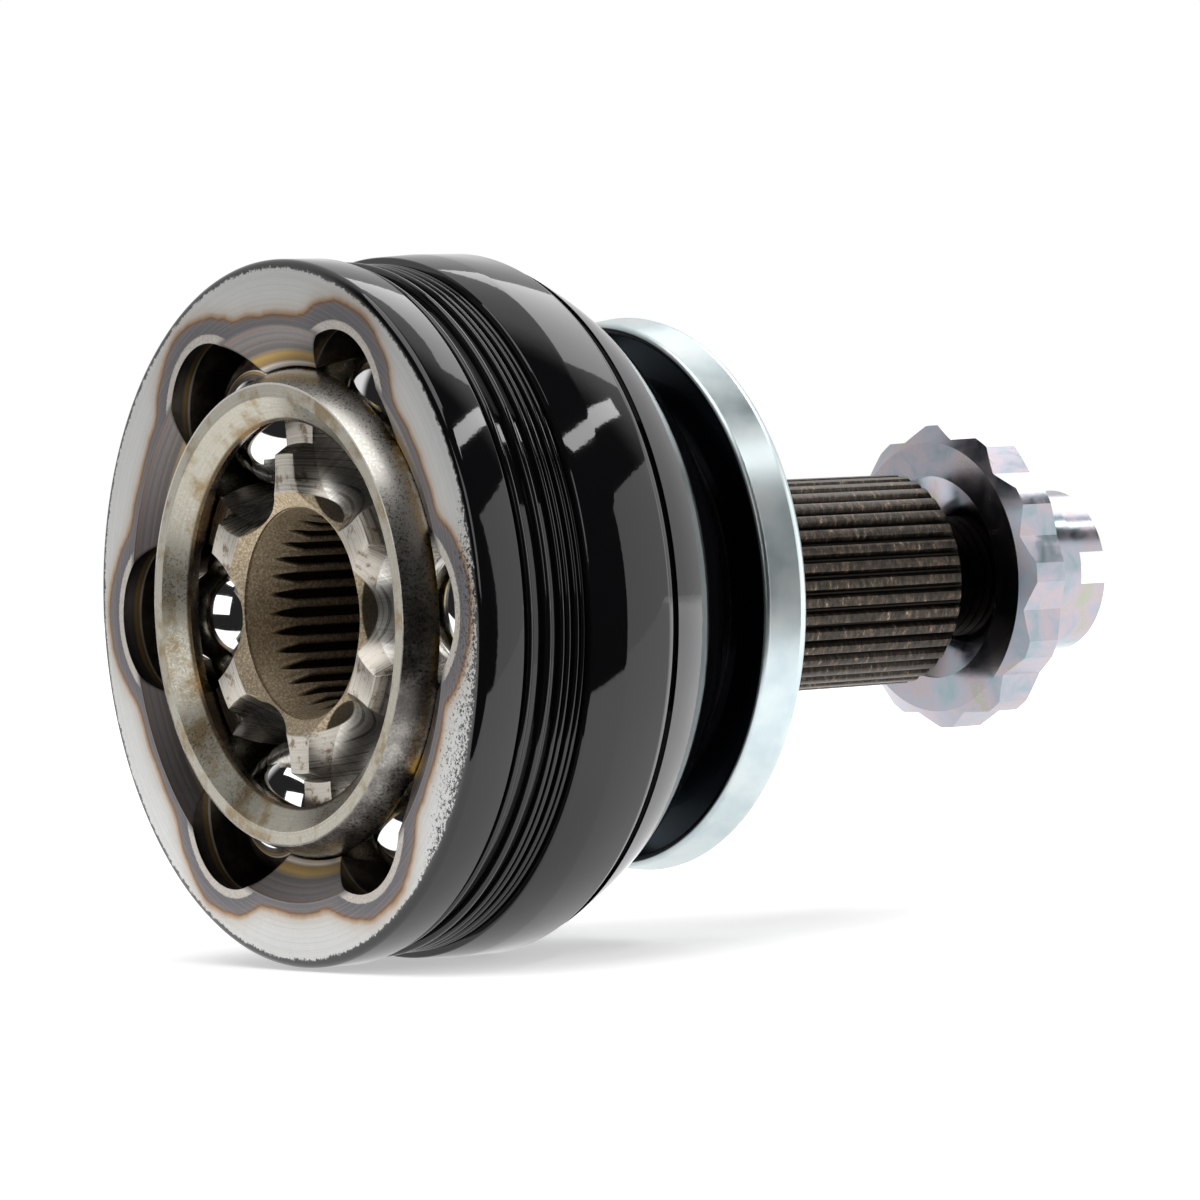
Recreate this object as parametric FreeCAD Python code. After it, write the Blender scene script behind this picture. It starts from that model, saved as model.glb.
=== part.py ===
"""Fixed ball (Rzeppa) outer joint of a front drive shaft.

The joint's axis is X.  The bell's mouth looks toward -X, the splined stub points toward +X and +Z is up.
The origin is the centre of articulation: the point on the axis where the plane of the six balls crosses it.
Six balls run in meridian tracks cut in the bell and in the inner race.  The two sets of tracks are arcs whose
centres lie a little before and a little behind the origin, which is what steers the balls into the bisecting
plane when the joint bends.  A cage with six windows holds the balls in that plane.
"""
import FreeCAD, Part
import math
import os

# ---- balls, tracks and windows -------------------------------------------------------------------------
BALL_DIAMETER = 19.05         # 3/4 inch bearing ball
BALL_COUNT = 6
BALL_PITCH_RADIUS = 28.8      # from the joint axis to each ball's centre when the joint is straight
TRACK_OFFSET = 4.0            # centre of the outer tracks before the origin, and of the inner ones behind it
TRACK_CLEARANCE = 0.12        # between a ball and its track
WINDOW_CLEARANCE = 0.33       # between a ball and the front or rear edge of its cage window
WINDOW_SIDE_ROOM = 1.25       # each side of a ball along its window, for the drift when the joint bends
WINDOW_CORNER = 3.0
TRACK_REAR_ANGLE = 34.0       # how far behind its own centre plane an outer track runs, in degrees
TRACK_FRONT_ANGLE = 70.0      # how far before it an outer track's cutter runs, well out of the mouth
INNER_TRACK_ANGLE = 80.0      # how far to each side an inner track's cutter runs, out of both faces

# ---- cage ----------------------------------------------------------------------------------------------
CAGE_OUTER_RADIUS = 31.5      # spherical
CAGE_WALL = 5.3
CAGE_FRONT = 13.9             # front rim, before the origin: it stands proud of the bell's mouth
CAGE_REAR = 13.0
RIM_FLAT = 1.8                # width of the flat ring on the front rim
RIM_CONE_DEPTH = 2.5
RIM_CONE_WIDTH = 2.9
GUIDE_CLEARANCE = 0.25        # between two spherical guide surfaces

# ---- inner race ----------------------------------------------------------------------------------------
RACE_LAND_FRONT = 9.0         # faced front of the lands, before the origin
RACE_REAR = 10.5
HUB_FRONT = 11.4              # raised hub around the bore
HUB_FACE_RADIUS = 19.55
HUB_FOOT_RADIUS = 20.8
HUB_INNER_RADIUS = 14.9
BORE_MOUTH_RADIUS = 13.08
BORE_MOUTH_DEPTH = 1.35       # of the chamfer between the hub face and the lead-in cone
LEAD_IN_LENGTH = 6.6
SHAFT_TEETH = 32
SHAFT_MAJOR_RADIUS = 12.35    # bottom of the grooves in the bore
SHAFT_TOOTH_DEPTH = 0.85
SHAFT_TIP_SHARE = 0.12        # share of the tooth pitch that is flat in the bottom of a groove
SHAFT_ROOT_SHARE = 0.35       # and on the top of a tooth of the bore
REAR_CHAMFER = 0.8

# ---- bell ----------------------------------------------------------------------------------------------
BELL_WALL = 4.5               # least wall outside the tracks, at the front band
MOUTH_FACE = 12.9             # mouth face, before the origin
MOUTH_CHAMFER_RADIUS = 33.8
MOUTH_SPHERE_EDGE = 9.8       # where the spherical guide starts, before the origin
CAVITY_DEPTH = 27.0           # flat floor of the cavity, behind the origin
FRONT_BAND_LENGTH = 6.0
EDGE_ROUND = 0.9
BOOT_GROOVE_DEPTH = 1.6
BOOT_GROOVE_LENGTH = 9.5
BEAD_HEIGHT = 1.0
NARROW_BEAD = 1.2             # widths of the raised rings in the groove
WIDE_BEAD = 1.7
BEADS = ((1.3, NARROW_BEAD), (3.95, NARROW_BEAD), (6.45, WIDE_BEAD), (8.5, WIDE_BEAD))
BACK_BAND_START_DROP = 0.3    # the back band starts this much below the ridge
RIDGE_RISE = 0.35             # of the ridge over the front band
RIDGE_DISTANCE = 4.9          # from the start of the back band to its ridge
BACK_BAND_LENGTH = 11.1
BACK_CHAMFER = 1.3
BACK_CHAMFER_SLOPE = 0.7      # how much it narrows for its length
RELIEF_WIDTH = 0.7            # fine groove behind the back band
RELIEF_DEPTH = 0.5
SHOULDER_RADIUS = 26.5        # carries the dust shield
SHOULDER_LENGTH = 7.2         # from the domed back to the flat face that the wheel hub bears on
SHOULDER_CHAMFER = 1.0

# ---- stub ----------------------------------------------------------------------------------------------
JOURNAL_RADIUS = 14.6
JOURNAL_LENGTH = 3.5
STUB_TEETH = 38
STUB_SPLINE_RADIUS = 13.8
STUB_TOOTH_DEPTH = 0.95
STUB_TIP_SHARE = 0.45         # share of the tooth pitch that is flat on a tip
STUB_ROOT_SHARE = 0.2         # and in a root
STUB_SPLINE_LENGTH = 38.1
SPLINE_END_CHAMFER = 0.8
THREAD_NECK_RADIUS = 6.9
THREAD_NECK_LENGTH = 2.2
THREAD_RADIUS = 8.0           # M16
THREAD_LENGTH = 18.7
THREAD_CHAMFER = 1.1
CENTRE_HOLE_RADIUS = 2.2      # turning centre in the end of the stub
CENTRE_HOLE_DEPTH = 4.5

# ---- dust shield ---------------------------------------------------------------------------------------
SHIELD_RADIUS = 35.2          # at the rear corner
SHIELD_FLARE = 0.6            # how much smaller the open lip is
SHIELD_SHEET = 1.3
SHIELD_DEPTH = 6.4
SHIELD_SETBACK = 0.6          # its web stays this far before the abutment
SHIELD_CORNER = 1.6
SHIELD_COLLAR = 5.6           # length of its inner collar, pressed on the shoulder

# ---- axle nut ------------------------------------------------------------------------------------------
NUT_FACE = 5.5                # washer face, behind the end of the stub's spline
NUT_WRENCH_SIZE = 36.0        # across flats of the bi-hexagon
NUT_WASHER_RADIUS = 17.85
NUT_TIP_RADIUS = 20.1
NUT_FRONT_CHAMFER = 1.3
NUT_HEX_LENGTH = 6.9
NUT_REAR_CHAMFER = 0.9
NUT_RECESS_RADIUS = 13.4
NUT_RECESS_STRAIGHT = 1.2
NUT_RECESS_DEPTH = 4.6
NUT_THREAD_CLEARANCE = 0.15
COLLAR_RADIUS = 11.1
COLLAR_BASE_LENGTH = 9.2
COLLAR_LIP_STEP = 0.35
COLLAR_LIP_LENGTH = 4.9
COLLAR_LIP_WALL = 1.9
COLLAR_SLOTS = 3
COLLAR_SLOT_WIDTH = 4.2
COLLAR_SLOT_DEPTH = 4.1
COLLAR_SLOT_TURN = -1.0       # turn of the first slot from -Y, in degrees

AXIS = FreeCAD.Vector(1, 0, 0)
ORIGIN = FreeCAD.Vector(0, 0, 0)

# ---- worked out from the sizes above -------------------------------------------------------------------
ball_radius = BALL_DIAMETER / 2
track_arc_radius = math.hypot(BALL_PITCH_RADIUS, TRACK_OFFSET)
cage_inner_radius = CAGE_OUTER_RADIUS - CAGE_WALL
race_radius = cage_inner_radius - GUIDE_CLEARANCE
bell_guide_radius = CAGE_OUTER_RADIUS + GUIDE_CLEARANCE
shaft_minor_radius = SHAFT_MAJOR_RADIUS - SHAFT_TOOTH_DEPTH
bell_radius = track_arc_radius + ball_radius + TRACK_CLEARANCE + BELL_WALL
ridge_radius = bell_radius + RIDGE_RISE
groove_start = FRONT_BAND_LENGTH - MOUTH_FACE
back_band_start = groove_start + BOOT_GROOVE_LENGTH
ridge_x = back_band_start + RIDGE_DISTANCE
back_band_end = back_band_start + BACK_BAND_LENGTH
relief_x = back_band_end + BACK_CHAMFER
relief_radius = ridge_radius - BACK_CHAMFER * BACK_CHAMFER_SLOPE
dome_x = relief_x + RELIEF_WIDTH
dome_radius = math.hypot(dome_x + TRACK_OFFSET, relief_radius)
shoulder_start = math.sqrt(dome_radius ** 2 - SHOULDER_RADIUS ** 2) - TRACK_OFFSET
abutment = shoulder_start + SHOULDER_LENGTH
spline_start = abutment + JOURNAL_LENGTH
spline_end = spline_start + STUB_SPLINE_LENGTH
thread_start = spline_end + THREAD_NECK_LENGTH
thread_end = thread_start + THREAD_LENGTH
nut_front = spline_end + NUT_FACE
window_length = BALL_DIAMETER + 2 * WINDOW_SIDE_ROOM
window_width = BALL_DIAMETER + 2 * WINDOW_CLEARANCE


def point(x, r):
    """A point of a turned profile: x along the axis, r from it."""
    return FreeCAD.Vector(x, 0, r)


def radial(azimuth):
    """Unit vector across the axis, at an azimuth measured from +Y toward +Z."""
    turn = math.radians(azimuth)
    return FreeCAD.Vector(0, math.cos(turn), math.sin(turn))


def line(start, end):
    return Part.LineSegment(start, end).toShape()


def arc(start, middle, end):
    return Part.Arc(start, middle, end).toShape()


def arc_about(centre_x, radius, start, end):
    """Arc of a turned profile about a centre on the axis."""
    first = math.atan2(start.z, start.x - centre_x)
    last = math.atan2(end.z, end.x - centre_x)
    half = (first + last) / 2
    middle = point(centre_x + radius * math.cos(half), radius * math.sin(half))
    return arc(start, middle, end)


def turned(edges):
    """Solid of revolution about the joint axis from the edges of a closed half profile."""
    face = Part.Face(Part.Wire(edges))
    return face.revolve(ORIGIN, AXIS, 360)


def turned_polygon(points):
    """Solid of revolution from the corners of a closed half profile."""
    return turned([line(points[i - 1], points[i]) for i in range(len(points))])


def disc(start, end, radius):
    """Plain cylinder on the joint axis."""
    return Part.makeCylinder(radius, end - start, FreeCAD.Vector(start, 0, 0), AXIS)


def round_about_axis(shape, azimuth):
    """Copy of a shape turned about the joint axis."""
    copy = shape.copy()
    copy.rotate(ORIGIN, AXIS, azimuth)
    return copy


def toothed_bar(start, end, root_radius, tip_radius, teeth, tip_share, root_share):
    """Straight bar with teeth all round: each tooth has a flat tip and there is a flat root between two."""
    pitch = 2 * math.pi / teeth
    corners = []
    for i in range(teeth):
        middle = i * pitch
        for radius, turn in (
            (root_radius, middle - pitch * (1 - root_share) / 2),
            (tip_radius, middle - pitch * tip_share / 2),
            (tip_radius, middle + pitch * tip_share / 2),
            (root_radius, middle + pitch * (1 - root_share) / 2),
        ):
            corners.append(FreeCAD.Vector(start, radius * math.cos(turn), radius * math.sin(turn)))
    face = Part.Face(Part.makePolygon(corners + corners[:1]))
    return face.extrude(AXIS * (end - start))


def track_ring(centre_x, first_angle, sweep):
    """Ball track along an arc about a centre on the axis, in the XY plane on its +Y side.

    The angle is measured from the +Y direction toward +X, in degrees.
    """
    radius = ball_radius + TRACK_CLEARANCE
    centre = FreeCAD.Vector(centre_x, 0, 0)
    start = FreeCAD.Vector(centre_x, track_arc_radius, 0)
    section = Part.Face(Part.Wire(Part.makeCircle(radius, start, AXIS)))
    spin = FreeCAD.Vector(0, 0, -1)
    section.rotate(centre, spin, first_angle)
    return section.revolve(centre, spin, sweep)


def bell_outside():
    """Bell, shoulder and stub as one turned forging, without its cavity and its spline."""
    groove_floor = bell_radius - BOOT_GROOVE_DEPTH
    corner_x = EDGE_ROUND - MOUTH_FACE
    slant = EDGE_ROUND * math.sqrt(0.5)
    edges = []
    edges.append(line(point(-MOUTH_FACE, 0), point(-MOUTH_FACE, bell_radius - EDGE_ROUND)))
    edges.append(arc(
        point(-MOUTH_FACE, bell_radius - EDGE_ROUND),
        point(corner_x - slant, bell_radius - EDGE_ROUND + slant),
        point(corner_x, bell_radius),
    ))
    edges.append(line(point(corner_x, bell_radius), point(groove_start, bell_radius)))
    edges.append(line(point(groove_start, bell_radius), point(groove_start, groove_floor)))
    here = point(groove_start, groove_floor)
    for distance, width in BEADS:
        middle = groove_start + distance
        foot = point(middle - width / 2, groove_floor)
        heel = point(middle + width / 2, groove_floor)
        edges.append(line(here, foot))
        edges.append(arc(foot, point(middle, groove_floor + BEAD_HEIGHT), heel))
        here = heel
    edges.append(line(here, point(back_band_start, groove_floor)))
    corners = [
        point(back_band_start, groove_floor),
        point(back_band_start, ridge_radius - BACK_BAND_START_DROP),
        point(ridge_x, ridge_radius),
        point(back_band_end, ridge_radius),
        point(relief_x, relief_radius),
        point(relief_x, relief_radius - RELIEF_DEPTH),
        point(dome_x, relief_radius - RELIEF_DEPTH),
        point(dome_x, relief_radius),
    ]
    edges += [line(corners[i], corners[i + 1]) for i in range(len(corners) - 1)]
    shoulder = point(shoulder_start, SHOULDER_RADIUS)
    edges.append(arc_about(-TRACK_OFFSET, dome_radius, corners[-1], shoulder))
    thread_tip = THREAD_RADIUS - THREAD_CHAMFER
    corners = [
        shoulder,
        point(abutment - SHOULDER_CHAMFER, SHOULDER_RADIUS),
        point(abutment, SHOULDER_RADIUS - SHOULDER_CHAMFER),
        point(abutment, JOURNAL_RADIUS),
        point(spline_start, JOURNAL_RADIUS),
        point(spline_start, THREAD_NECK_RADIUS),
        point(thread_start, THREAD_NECK_RADIUS),
        point(thread_start + THREAD_CHAMFER, THREAD_RADIUS),
        point(thread_end - THREAD_CHAMFER, THREAD_RADIUS),
        point(thread_end, thread_tip),
        point(thread_end, 0),
        point(-MOUTH_FACE, 0),
    ]
    edges += [line(corners[i], corners[i + 1]) for i in range(len(corners) - 1)]
    return turned(edges)


def stub_spline():
    """Toothed length of the stub, chamfered at its free end."""
    root = STUB_SPLINE_RADIUS - STUB_TOOTH_DEPTH
    bar = toothed_bar(
        spline_start, spline_end, root, STUB_SPLINE_RADIUS, STUB_TEETH,
        STUB_TIP_SHARE, STUB_ROOT_SHARE)
    envelope = turned_polygon([
        point(spline_start, 0),
        point(spline_start, STUB_SPLINE_RADIUS),
        point(spline_end - SPLINE_END_CHAMFER, STUB_SPLINE_RADIUS),
        point(spline_end, STUB_SPLINE_RADIUS - SPLINE_END_CHAMFER),
        point(spline_end, 0),
    ])
    return bar.common(envelope)


def bell_cavity():
    """Spherical guide with its mouth chamfer and flat floor."""
    edge = point(-MOUTH_SPHERE_EDGE, math.sqrt(bell_guide_radius ** 2 - MOUTH_SPHERE_EDGE ** 2))
    floor = point(CAVITY_DEPTH, math.sqrt(bell_guide_radius ** 2 - CAVITY_DEPTH ** 2))
    mouth = point(-MOUTH_FACE, MOUTH_CHAMFER_RADIUS)
    slope = (mouth.z - edge.z) / (mouth.x - edge.x)
    outside = point(-MOUTH_FACE - 1, mouth.z - slope)
    return turned([
        line(point(outside.x, 0), outside),
        line(outside, edge),
        arc_about(0, bell_guide_radius, edge, floor),
        line(floor, point(CAVITY_DEPTH, 0)),
        line(point(CAVITY_DEPTH, 0), point(outside.x, 0)),
    ])


def outer_tracks():
    """The six tracks of the bell, open at the mouth and ending in a ball-shaped hollow at the rear."""
    run = track_ring(-TRACK_OFFSET, -TRACK_FRONT_ANGLE, TRACK_FRONT_ANGLE + TRACK_REAR_ANGLE)
    rear = math.radians(TRACK_REAR_ANGLE)
    end = FreeCAD.Vector(
        track_arc_radius * math.sin(rear) - TRACK_OFFSET, track_arc_radius * math.cos(rear), 0)
    hollow = Part.makeSphere(ball_radius + TRACK_CLEARANCE, end)
    track = run.fuse(hollow)
    return [round_about_axis(track, i * 360 / BALL_COUNT) for i in range(BALL_COUNT)]


def make_outer_race():
    body = bell_outside().fuse(stub_spline())
    body = body.cut([bell_cavity()] + outer_tracks())
    centre_hole = Part.makeCone(
        0.01, CENTRE_HOLE_RADIUS, CENTRE_HOLE_DEPTH, FreeCAD.Vector(thread_end - CENTRE_HOLE_DEPTH, 0, 0), AXIS)
    return body.cut(centre_hole).removeSplitter()


def cage_ring():
    """Ring between two concentric spheres, cut flat at both rims, with a stepped cone in its front rim."""
    front_outer = math.sqrt(CAGE_OUTER_RADIUS ** 2 - CAGE_FRONT ** 2)
    rear_outer = math.sqrt(CAGE_OUTER_RADIUS ** 2 - CAGE_REAR ** 2)
    cone_start = front_outer - RIM_FLAT
    cone_end = cone_start - RIM_CONE_WIDTH
    cone_x = RIM_CONE_DEPTH - CAGE_FRONT
    sphere_front = -math.sqrt(cage_inner_radius ** 2 - cone_end ** 2)
    rear_inner = math.sqrt(cage_inner_radius ** 2 - sphere_front ** 2)
    return turned([
        line(point(-CAGE_FRONT, cone_start), point(-CAGE_FRONT, front_outer)),
        arc_about(0, CAGE_OUTER_RADIUS, point(-CAGE_FRONT, front_outer), point(CAGE_REAR, rear_outer)),
        line(point(CAGE_REAR, rear_outer), point(CAGE_REAR, rear_inner)),
        line(point(CAGE_REAR, rear_inner), point(-sphere_front, rear_inner)),
        arc_about(0, cage_inner_radius, point(-sphere_front, rear_inner), point(sphere_front, cone_end)),
        line(point(sphere_front, cone_end), point(cone_x, cone_end)),
        line(point(cone_x, cone_end), point(-CAGE_FRONT, cone_start)),
    ])


def cage_window():
    """Window cutter on the +Y side: a block along the radius with four rounded corners."""
    block = Part.makeBox(
        window_width, CAGE_OUTER_RADIUS, window_length,
        FreeCAD.Vector(-window_width / 2, cage_inner_radius / 2, -window_length / 2))
    corners = [edge for edge in block.Edges if abs(edge.tangentAt(edge.FirstParameter).y) > 0.9]
    return block.makeFillet(WINDOW_CORNER, corners)


def make_cage():
    windows = [round_about_axis(cage_window(), i * 360 / BALL_COUNT) for i in range(BALL_COUNT)]
    return cage_ring().cut(windows)


def race_blank():
    """Spherical inner race with a faced front, a raised hub and a chamfered rear, without bore and tracks."""
    front = point(-RACE_LAND_FRONT, math.sqrt(race_radius ** 2 - RACE_LAND_FRONT ** 2))
    rear = point(RACE_REAR, math.sqrt(race_radius ** 2 - RACE_REAR ** 2))
    hub_foot = point(-RACE_LAND_FRONT, HUB_FOOT_RADIUS)
    hub_face = point(-HUB_FRONT, HUB_FACE_RADIUS)
    return turned([
        line(point(-HUB_FRONT, 0), hub_face),
        line(hub_face, hub_foot),
        line(hub_foot, front),
        arc_about(0, race_radius, front, rear),
        line(rear, point(RACE_REAR, 0)),
        line(point(RACE_REAR, 0), point(-HUB_FRONT, 0)),
    ])


def shaft_bore():
    """Splined bore with a chamfer, a long lead-in cone for the shaft and a small chamfer at the rear."""
    teeth = toothed_bar(
        -HUB_FRONT - 1, RACE_REAR + 1, shaft_minor_radius, SHAFT_MAJOR_RADIUS, SHAFT_TEETH,
        SHAFT_TIP_SHARE, SHAFT_ROOT_SHARE)
    mouth_x = BORE_MOUTH_DEPTH - HUB_FRONT
    rear_radius = SHAFT_MAJOR_RADIUS + REAR_CHAMFER
    lead_in = turned_polygon([
        point(-HUB_FRONT - 1, 0),
        point(-HUB_FRONT - 1, HUB_INNER_RADIUS),
        point(-HUB_FRONT, HUB_INNER_RADIUS),
        point(mouth_x, BORE_MOUTH_RADIUS),
        point(mouth_x + LEAD_IN_LENGTH, shaft_minor_radius),
        point(mouth_x + LEAD_IN_LENGTH, 0),
    ])
    rear_cone = Part.makeCone(
        shaft_minor_radius, rear_radius, rear_radius - shaft_minor_radius,
        FreeCAD.Vector(RACE_REAR - rear_radius + shaft_minor_radius, 0, 0), AXIS)
    return [teeth, lead_in, rear_cone]


def make_inner_race():
    ring = track_ring(TRACK_OFFSET, -INNER_TRACK_ANGLE, 2 * INNER_TRACK_ANGLE)
    tracks = [round_about_axis(ring, i * 360 / BALL_COUNT) for i in range(BALL_COUNT)]
    return race_blank().cut(tracks + shaft_bore())


def make_ball(index):
    return Part.makeSphere(ball_radius, radial(index * 360 / BALL_COUNT) * BALL_PITCH_RADIUS)


def make_dust_shield():
    """Pressed steel cup, open toward the bell, with a collar pressed on the bell's shoulder."""
    web_rear = abutment - SHIELD_SETBACK
    web_front = web_rear - SHIELD_SHEET
    lip_x = web_rear - SHIELD_DEPTH
    lip_radius = SHIELD_RADIUS - SHIELD_FLARE
    half = SHIELD_SHEET / 2
    collar_inner = SHOULDER_RADIUS
    collar_outer = SHOULDER_RADIUS + SHIELD_SHEET
    inside_corner = SHIELD_CORNER - SHIELD_SHEET
    bend = math.sqrt(0.5)
    corner = point(web_rear - SHIELD_CORNER, SHIELD_RADIUS - SHIELD_CORNER)
    outer_start = point(corner.x, SHIELD_RADIUS)
    outer_bend = point(corner.x + SHIELD_CORNER * bend, corner.z + SHIELD_CORNER * bend)
    outer_end = point(web_rear, corner.z)
    inner_start = point(web_front, corner.z)
    inner_bend = point(corner.x + inside_corner * bend, corner.z + inside_corner * bend)
    inner_end = point(corner.x, SHIELD_RADIUS - SHIELD_SHEET)
    lip_inner = point(lip_x + half, lip_radius - SHIELD_SHEET)
    lip_outer = point(lip_x + half, lip_radius)
    collar_front = web_rear - SHIELD_COLLAR
    return turned([
        line(lip_outer, outer_start),
        arc(outer_start, outer_bend, outer_end),
        line(outer_end, point(web_rear, collar_inner)),
        line(point(web_rear, collar_inner), point(collar_front, collar_inner)),
        line(point(collar_front, collar_inner), point(collar_front, collar_outer)),
        line(point(collar_front, collar_outer), point(web_front, collar_outer)),
        line(point(web_front, collar_outer), inner_start),
        arc(inner_start, inner_bend, inner_end),
        line(inner_end, lip_inner),
        arc(lip_inner, point(lip_x, lip_radius - half), lip_outer),
    ])


def bi_hexagon(start, end):
    """Twelve-point bar: two hexagons of the same wrench size, turned 30 degrees apart."""
    corner = NUT_WRENCH_SIZE / 2 / math.cos(math.pi / 6)
    corners = [FreeCAD.Vector(start, corner * math.cos(i * math.pi / 3), corner * math.sin(i * math.pi / 3))
               for i in range(6)]
    hexagon = Part.Face(Part.makePolygon(corners + corners[:1])).extrude(AXIS * (end - start))
    return hexagon.fuse(round_about_axis(hexagon, 30))


def make_axle_nut():
    """Twelve-point nut with a washer face, a deep front recess and a thin slotted locking collar."""
    hex_end = nut_front + NUT_HEX_LENGTH
    base_end = hex_end + COLLAR_BASE_LENGTH
    rear = base_end + COLLAR_LIP_LENGTH
    bore = THREAD_RADIUS + NUT_THREAD_CLEARANCE
    lip_radius = COLLAR_RADIUS - COLLAR_LIP_STEP
    head = bi_hexagon(nut_front, hex_end).common(turned_polygon([
        point(nut_front, 0),
        point(nut_front, NUT_WASHER_RADIUS),
        point(nut_front + NUT_FRONT_CHAMFER, NUT_TIP_RADIUS),
        point(hex_end - NUT_REAR_CHAMFER, NUT_TIP_RADIUS),
        point(hex_end, NUT_TIP_RADIUS - 2 * NUT_REAR_CHAMFER),
        point(hex_end, 0),
    ]))
    collar = disc(nut_front, base_end, COLLAR_RADIUS).fuse(disc(nut_front, rear, lip_radius))
    hollow = turned_polygon([
        point(nut_front - 1, 0),
        point(nut_front - 1, NUT_RECESS_RADIUS),
        point(nut_front + NUT_RECESS_STRAIGHT, NUT_RECESS_RADIUS),
        point(nut_front + NUT_RECESS_DEPTH, bore),
        point(base_end, bore),
        point(base_end + 1, lip_radius - COLLAR_LIP_WALL),
        point(rear + 1, lip_radius - COLLAR_LIP_WALL),
        point(rear + 1, 0),
    ])
    slot = Part.makeBox(
        COLLAR_SLOT_DEPTH + 1, 2 * COLLAR_RADIUS, COLLAR_SLOT_WIDTH,
        FreeCAD.Vector(rear - COLLAR_SLOT_DEPTH, -2 * COLLAR_RADIUS, -COLLAR_SLOT_WIDTH / 2))
    slots = [round_about_axis(slot, COLLAR_SLOT_TURN + i * 360 / COLLAR_SLOTS) for i in range(COLLAR_SLOTS)]
    return head.fuse(collar).cut([hollow] + slots).removeSplitter()


def save(name, shape):
    """Write one sub-part and print what it holds."""
    solid = shape.Solids[0]
    print(name, "solids", len(shape.Solids), "valid", shape.isValid(), "volume", round(shape.Volume, 1))
    solid.exportStep("parts/" + name + ".step")


os.makedirs("parts", exist_ok=True)
save("outer_race", make_outer_race())
save("cage", make_cage())
save("inner_race", make_inner_race())
for number in range(BALL_COUNT):
    save("ball_" + str(number + 1), make_ball(number))
save("dust_shield", make_dust_shield())
save("axle_nut", make_axle_nut())
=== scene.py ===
# %% [markdown]
# # The looks of a fixed ball CV joint
# The joint is a steel bell with a splined stub.  Inside the bell, six balls sit between an inner race and
# curved tracks, held by a cage.  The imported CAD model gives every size, so it is loaded first and stays the
# frame for all that follows.  All lengths below are in millimetres, turned into metres by the value MM.

import math

import bpy
from mathutils import Matrix, Vector


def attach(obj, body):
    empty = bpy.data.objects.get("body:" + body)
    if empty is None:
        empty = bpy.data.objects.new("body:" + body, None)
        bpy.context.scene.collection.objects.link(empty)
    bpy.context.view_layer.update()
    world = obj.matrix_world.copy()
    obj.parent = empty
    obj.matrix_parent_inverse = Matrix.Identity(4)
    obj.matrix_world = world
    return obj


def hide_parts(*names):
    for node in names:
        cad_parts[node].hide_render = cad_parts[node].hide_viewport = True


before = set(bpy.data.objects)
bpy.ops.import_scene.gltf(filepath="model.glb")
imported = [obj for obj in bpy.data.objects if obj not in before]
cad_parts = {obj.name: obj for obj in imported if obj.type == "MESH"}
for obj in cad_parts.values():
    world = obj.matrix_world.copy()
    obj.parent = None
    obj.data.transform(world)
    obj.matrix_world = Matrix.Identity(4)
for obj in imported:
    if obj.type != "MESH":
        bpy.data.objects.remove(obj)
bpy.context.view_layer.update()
MM = 0.001

# %% [markdown]
# The camera is a long lens a good half metre away, looking at the open mouth from the left front.  A long
# lens keeps the circles of the bell nearly true ellipses.  The joint is round, so how it lies is free: here
# camera and lamps are turned together a few degrees about the joint axis, which sets how the tracks stand.

# %% Camera
CAMERA_PLACE = Vector((-366.24, -557.54, 55.16)) * MM
CAMERA_AIM = Vector((0.5821, 0.8091, -0.08076))
CAMERA_LENS = 162.9
SENSOR_WIDTH = 36
FAR_CLIP = 20
STUDIO_TURN = Matrix.Rotation(math.radians(5.0), 4, "X")

facing = Matrix.Translation(CAMERA_PLACE) @ CAMERA_AIM.to_track_quat("-Z", "Y").to_matrix().to_4x4()
bpy.ops.object.camera_add()
camera = bpy.context.object
camera.matrix_world = STUDIO_TURN @ facing
camera.data.lens = CAMERA_LENS
camera.data.sensor_width = SENSOR_WIDTH
camera.data.clip_end = FAR_CLIP
bpy.context.scene.camera = camera
print("camera", round(CAMERA_PLACE.length, 3), "m from the origin")

# %% [markdown]
# # Shapes
# Everything on this joint is turned, splined or milled.  An operator acts on all that is selected, so the
# first helpers pick one piece, and finish a piece with closed seams and with its faces pointing outward.

# %% Pick and finish a piece
def start_fresh():
    """Leave edit mode and deselect everything, because an operator acts on all that is selected."""
    if bpy.context.object and bpy.context.object.mode == "EDIT":
        bpy.ops.object.mode_set(mode="OBJECT")
    bpy.ops.object.select_all(action="DESELECT")


def take(piece):
    """Make one piece the only selected and active one."""
    start_fresh()
    piece.select_set(True)
    bpy.context.view_layer.objects.active = piece


def settle(piece, smooth_angle=30):
    """Close the seams, point the faces outward, put the place into the mesh and smooth the round faces."""
    take(piece)
    bpy.ops.object.mode_set(mode="EDIT")
    bpy.ops.mesh.select_all(action="SELECT")
    bpy.ops.mesh.remove_doubles(threshold=0.0005 * MM)
    bpy.ops.mesh.normals_make_consistent(inside=False)
    bpy.ops.object.mode_set(mode="OBJECT")
    bpy.ops.object.transform_apply(location=True, rotation=True, scale=True)
    bpy.ops.object.shade_smooth_by_angle(angle=math.radians(smooth_angle))
    return piece


# %% [markdown]
# The lathe does most of the work here.  It starts from a circle across the joint axis and pulls it along,
# station by station, with extrude and resize.  Milling is a boolean with a tool piece.  The round stretches
# of a profile are worked out as arcs, so that only the stations with a meaning are written down.

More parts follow.
